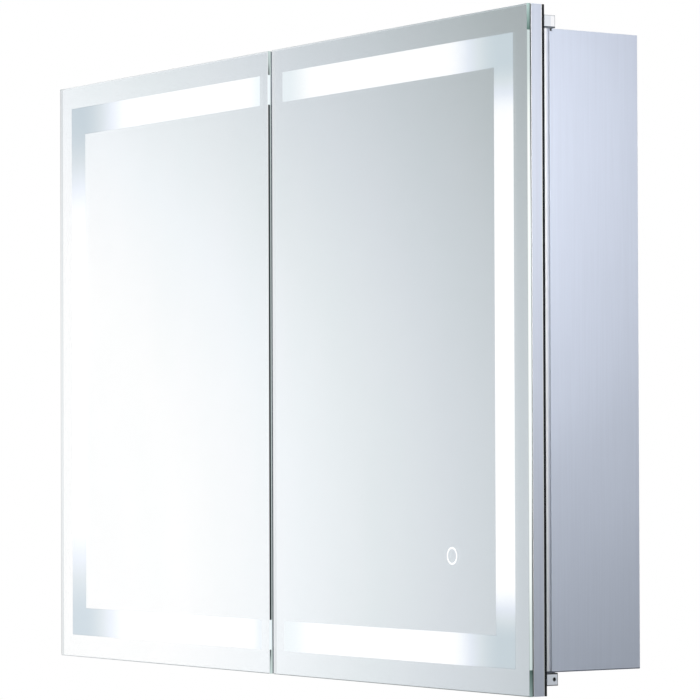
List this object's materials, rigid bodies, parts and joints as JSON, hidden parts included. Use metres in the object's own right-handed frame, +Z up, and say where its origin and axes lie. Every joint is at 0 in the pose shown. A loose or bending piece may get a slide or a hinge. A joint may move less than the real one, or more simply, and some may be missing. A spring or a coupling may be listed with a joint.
{
  "type": "lighted mirror medicine cabinet",
  "caption": "Wall cabinet with two mirror doors on pivot hinges, each with an etched lit band, a touch sensor, glass shelves and an electrical bay.",
  "frame": {"origin": "centre of the wall plane, on the rear face of the back panel, midway between the sides and between the top and the bottom of the body", "axes": "+X to the right as seen from the front, +Z up, +Y into the wall, so the doors face -Y"},
  "size_m": [0.914, 0.1333, 0.66],
  "materials": {
    "side_aluminium": "satin anodised",
    "sheet_aluminium": "satin",
    "frame_aluminium": "satin anodised",
    "rivet_aluminium": "plain",
    "screw_steel": "zinc plated",
    "clip_steel": "plain",
    "silvered_glass": "polished",
    "silvered_glass_black_edge": "polished, edge painted black",
    "clear_glass": "polished",
    "clear_plastic": "clear",
    "white_plastic": "moulded",
    "dark_nylon": "moulded",
    "black_rubber": "moulded",
    "clear_rubber": "soft",
    "black_foam": "foam tape",
    "key_zinc": "die-cast zinc",
    "opal_plastic": "opal",
    "circuit_white": "circuit tape",
    "hinge_metal": "light grey",
    "circuit_green": "circuit board"
  },
  "bodies": {
    "cabinet": {"back_mirror": "silvered_glass", "back_panel": "sheet_aluminium", "back_rivets": "rivet_aluminium", "bay_screws": "screw_steel", "bottom_panel": "sheet_aluminium", "cable_grommet": "black_rubber", "case_screws": "screw_steel", "door_bumpers": "clear_rubber", "door_lead_grommets": "black_rubber", "driver_cover": "sheet_aluminium", "end_plugs": "dark_nylon", "led_driver": "white_plastic", "left_side_panel": "side_aluminium", "magnetic_catches": "white_plastic", "mirror_clips": "clip_steel", "pivot_bushes": "dark_nylon", "right_side_panel": "side_aluminium", "shelf_lower": "clear_glass", "shelf_middle": "clear_glass", "shelf_supports": "clear_plastic", "shelf_upper": "clear_glass", "terminal_block": "white_plastic", "top_panel": "sheet_aluminium"},
    "left_door": {"left_band_diffuser": "opal_plastic", "left_corner_keys": "key_zinc", "left_door_bottom_rail": "frame_aluminium", "left_door_grommet": "black_rubber", "left_door_inner_stile": "frame_aluminium", "left_door_mirror": "silvered_glass", "left_door_outer_stile": "frame_aluminium", "left_door_top_rail": "frame_aluminium", "left_glass_tape": "black_foam", "left_hinge_block_bottom": "hinge_metal", "left_hinge_block_top": "hinge_metal", "left_hinge_screws": "screw_steel", "left_inner_mirror": "silvered_glass_black_edge", "left_led_strips": "circuit_white", "left_pivot_pins": "screw_steel", "left_pivot_washers": "dark_nylon", "left_set_screw": "screw_steel", "left_strike_plates": "clip_steel"},
    "right_door": {"right_band_diffuser": "opal_plastic", "right_corner_keys": "key_zinc", "right_door_bottom_rail": "frame_aluminium", "right_door_grommet": "black_rubber", "right_door_inner_stile": "frame_aluminium", "right_door_mirror": "silvered_glass", "right_door_outer_stile": "frame_aluminium", "right_door_top_rail": "frame_aluminium", "right_glass_tape": "black_foam", "right_hinge_block_bottom": "hinge_metal", "right_hinge_block_top": "hinge_metal", "right_hinge_screws": "screw_steel", "right_inner_mirror": "silvered_glass_black_edge", "right_led_strips": "circuit_white", "right_pivot_pins": "screw_steel", "right_pivot_washers": "dark_nylon", "right_set_screw": "screw_steel", "right_strike_plates": "clip_steel", "touch_sensor": "circuit_green"}
  },
  "joints": [
    {"name": "left_door_hinge", "type": "hinge", "parent": "cabinet", "child": "left_door", "pos_m": [-0.4515, -0.104, 0], "axis": [0, 0, -1], "range_deg": [0, 105]},
    {"name": "right_door_hinge", "type": "hinge", "parent": "cabinet", "child": "right_door", "pos_m": [0.4515, -0.104, 0], "axis": [0, 0, 1], "range_deg": [0, 105]}
  ]
}
